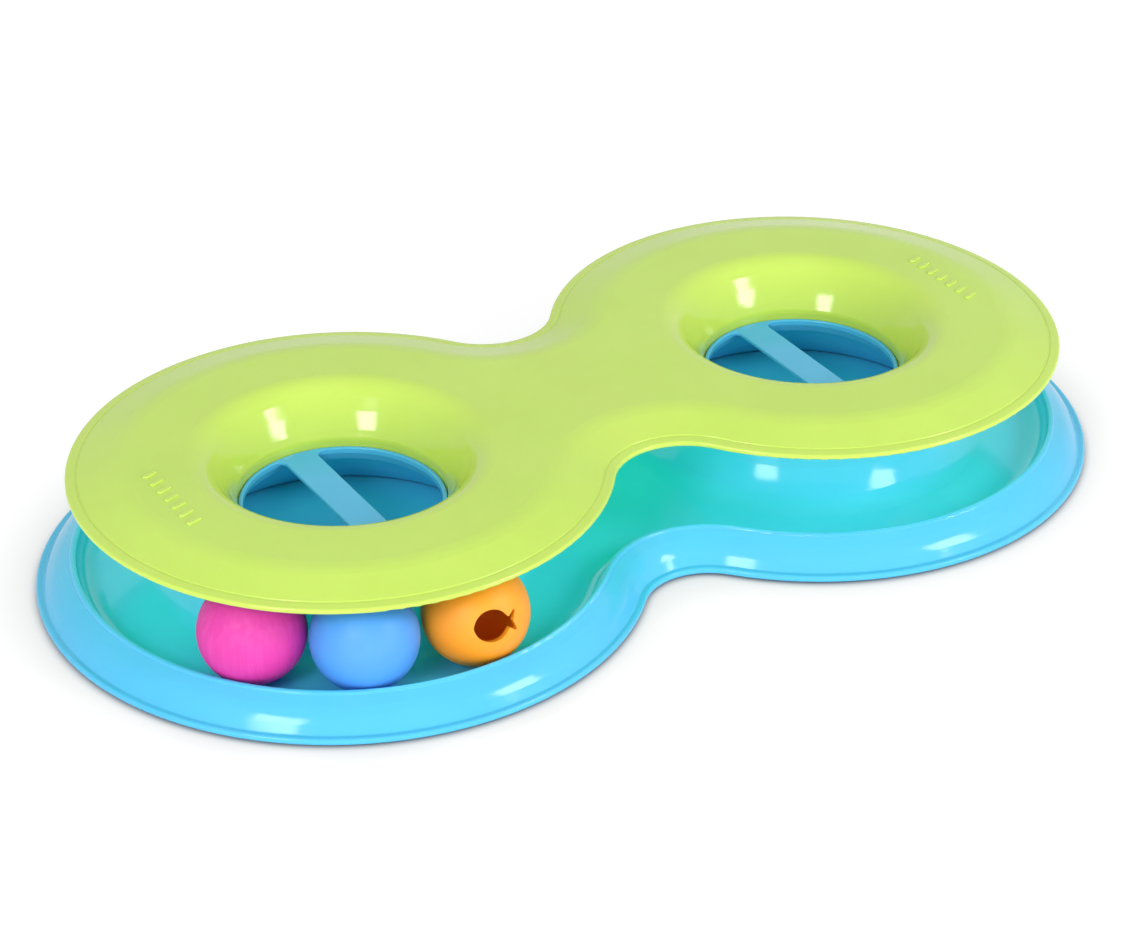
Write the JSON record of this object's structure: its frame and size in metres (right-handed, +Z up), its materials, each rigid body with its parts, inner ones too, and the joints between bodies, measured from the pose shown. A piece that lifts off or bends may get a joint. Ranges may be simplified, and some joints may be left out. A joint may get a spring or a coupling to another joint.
{
  "type": "cat ball track toy",
  "caption": "Figure-eight cat toy: a tray with an open-sided track round its hubs, a lift-off cover with wells, and loose balls, one of them a hollow treat ball.",
  "frame": {"origin": "on the table under the toy, midway between the two hub axes", "axes": "+X along the line of the hubs from the left hub to the right one, +Y to the back, +Z up along the hub axes"},
  "size_m": [0.4228, 0.2228, 0.0516],
  "materials": {
    "blue_gloss_plastic": "glossy injection moulded",
    "green_gloss_plastic": "glossy injection moulded",
    "pink_dyed_wood": "matt dyed",
    "blue_satin_plastic": "satin",
    "orange_satin_plastic": "satin",
    "grey_rubber": "matt"
  },
  "bodies": {
    "base": {"base_tray": "blue_gloss_plastic", "hub_floor_left": "blue_gloss_plastic", "hub_floor_right": "blue_gloss_plastic", "foot_left_back_inner": "grey_rubber", "foot_left_back_outer": "grey_rubber", "foot_left_front_inner": "grey_rubber", "foot_left_front_outer": "grey_rubber", "foot_right_back_inner": "grey_rubber", "foot_right_back_outer": "grey_rubber", "foot_right_front_inner": "grey_rubber", "foot_right_front_outer": "grey_rubber"},
    "cover": {"top_cover": "green_gloss_plastic"},
    "pink_ball": {"pink_ball": "pink_dyed_wood"},
    "blue_ball": {"blue_ball_upper_shell": "blue_satin_plastic", "blue_ball_lower_shell": "blue_satin_plastic"},
    "orange_ball": {"orange_ball_front_shell": "orange_satin_plastic", "orange_ball_rear_shell": "orange_satin_plastic"}
  },
  "joints": [
    {"name": "cover_lift", "type": "slide", "parent": "base", "child": "cover", "axis": [0, 0, 1], "range_m": [0, 0.04]},
    {"name": "pink_ball_orbit", "type": "hinge", "parent": "base", "child": "pink_ball", "pos_m": [-0.1, 0, 0], "axis": [0, 0, 1], "continuous": true},
    {"name": "blue_ball_orbit", "type": "hinge", "parent": "pink_ball", "child": "blue_ball", "pos_m": [-0.1, 0, 0], "axis": [0, 0, 1], "range_deg": [0, 135]},
    {"name": "orange_ball_orbit", "type": "hinge", "parent": "blue_ball", "child": "orange_ball", "pos_m": [-0.1, 0, 0], "axis": [0, 0, 1], "range_deg": [-1.4, 135]}
  ]
}
